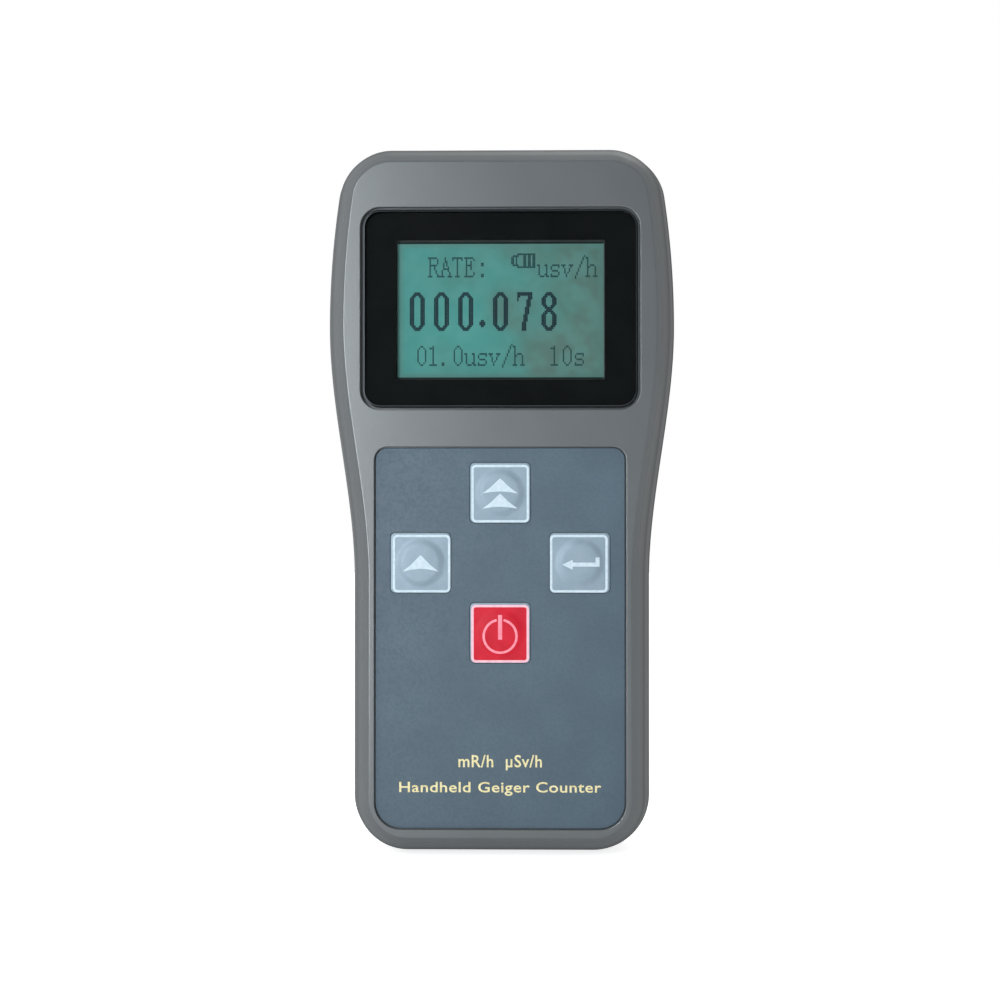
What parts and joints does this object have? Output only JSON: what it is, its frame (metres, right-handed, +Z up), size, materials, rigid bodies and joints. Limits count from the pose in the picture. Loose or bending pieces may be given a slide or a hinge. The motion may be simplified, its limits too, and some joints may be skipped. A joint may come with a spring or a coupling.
{
  "type": "geiger counter",
  "caption": "Handheld radiation meter with a waisted plastic case, a window over a graphic display, film keys below it and a hinged battery cover on its back.",
  "frame": {"origin": "middle of the lower end of the case, at mid depth", "axes": "+Z up the length of the case, +Y out of its back, +X to the right of a person facing the display"},
  "size_m": [0.074, 0.032, 0.15],
  "materials": {
    "case_plastic": "fine spark-eroded grain",
    "window_clear": "polished acrylic",
    "mask_black": "printed black",
    "film_blue": "satin polyester film",
    "key_silver": "satin printed film",
    "key_red": "satin printed film",
    "actuator_white": "natural moulded",
    "switch_black": "moulded",
    "steel": "nickel plated",
    "bezel_black": "black oxide",
    "lcd_glass": "display glass",
    "backlight": "diffusing acrylic",
    "zebra_rubber": "striped conductive rubber",
    "board_green": "solder mask",
    "brass_plate": "gold plated",
    "chip_black": "moulded epoxy",
    "ferrite": "ferrite",
    "capacitor_film": "dipped resin",
    "capacitor_can": "sleeved can",
    "tube_ceramic": "glazed",
    "lead_red": "insulated lead",
    "lead_black": "insulated lead",
    "cell_jacket": "printed jacket"
  },
  "bodies": {
    "housing": {"front_case": "case_plastic", "rear_case": "case_plastic", "display_window": "window_clear", "window_mask": "mask_black", "keypad_overlay": "film_blue", "switch_bodies": "switch_black", "switch_domes": "steel", "lcd_bezel": "bezel_black", "lcd_glass": "lcd_glass", "lcd_backlight": "backlight", "lcd_zebra_strips": "zebra_rubber", "lcd_board": "board_green", "lcd_header": "brass_plate", "lcd_screws": "steel", "main_board": "board_green", "processor": "chip_black", "support_chips": "chip_black", "crystal": "steel", "hv_transformer": "ferrite", "hv_capacitors": "capacitor_film", "supply_capacitor": "capacitor_can", "buzzer": "chip_black", "gm_tube": "steel", "tube_insulator": "tube_ceramic", "anode_cap": "brass_plate", "tube_clips": "brass_plate", "anode_lead": "lead_red", "battery_cell_left": "cell_jacket", "battery_cell_right": "cell_jacket", "battery_springs": "steel", "battery_contacts": "steel", "battery_lead_positive": "lead_red", "battery_lead_negative": "lead_black", "board_screws": "steel", "case_screws": "steel"},
    "double_up_button": {"key_double_up": "key_silver", "plunger_double_up": "actuator_white", "stem_double_up": "switch_black"},
    "up_button": {"key_up": "key_silver", "plunger_up": "actuator_white", "stem_up": "switch_black"},
    "enter_button": {"key_enter": "key_silver", "plunger_enter": "actuator_white", "stem_enter": "switch_black"},
    "power_button": {"key_power": "key_red", "plunger_power": "actuator_white", "stem_power": "switch_black"},
    "battery_cover": {"battery_cover": "case_plastic"},
    "battery_latch": {"battery_latch": "case_plastic"}
  },
  "joints": [
    {"name": "double_up_press", "type": "slide", "parent": "housing", "child": "double_up_button", "axis": [0, 1, 0], "range_m": [0, 0.00035], "stiffness_N_per_m": 300},
    {"name": "up_press", "type": "slide", "parent": "housing", "child": "up_button", "axis": [0, 1, 0], "range_m": [0, 0.00035], "stiffness_N_per_m": 300},
    {"name": "enter_press", "type": "slide", "parent": "housing", "child": "enter_button", "axis": [0, 1, 0], "range_m": [0, 0.00035], "stiffness_N_per_m": 300},
    {"name": "power_press", "type": "slide", "parent": "housing", "child": "power_button", "axis": [0, 1, 0], "range_m": [0, 0.00035], "stiffness_N_per_m": 300},
    {"name": "battery_cover_hinge", "type": "hinge", "parent": "housing", "child": "battery_cover", "pos_m": [0, 0.0148, 0.0134], "axis": [-1, 0, 0], "range_deg": [0, 75], "deforming": ["battery_latch"]},
    {"name": "battery_latch_press", "type": "slide", "parent": "battery_cover", "child": "battery_latch", "axis": [0, 0, -1], "range_m": [0, 0.0013], "stiffness_N_per_m": 400}
  ]
}
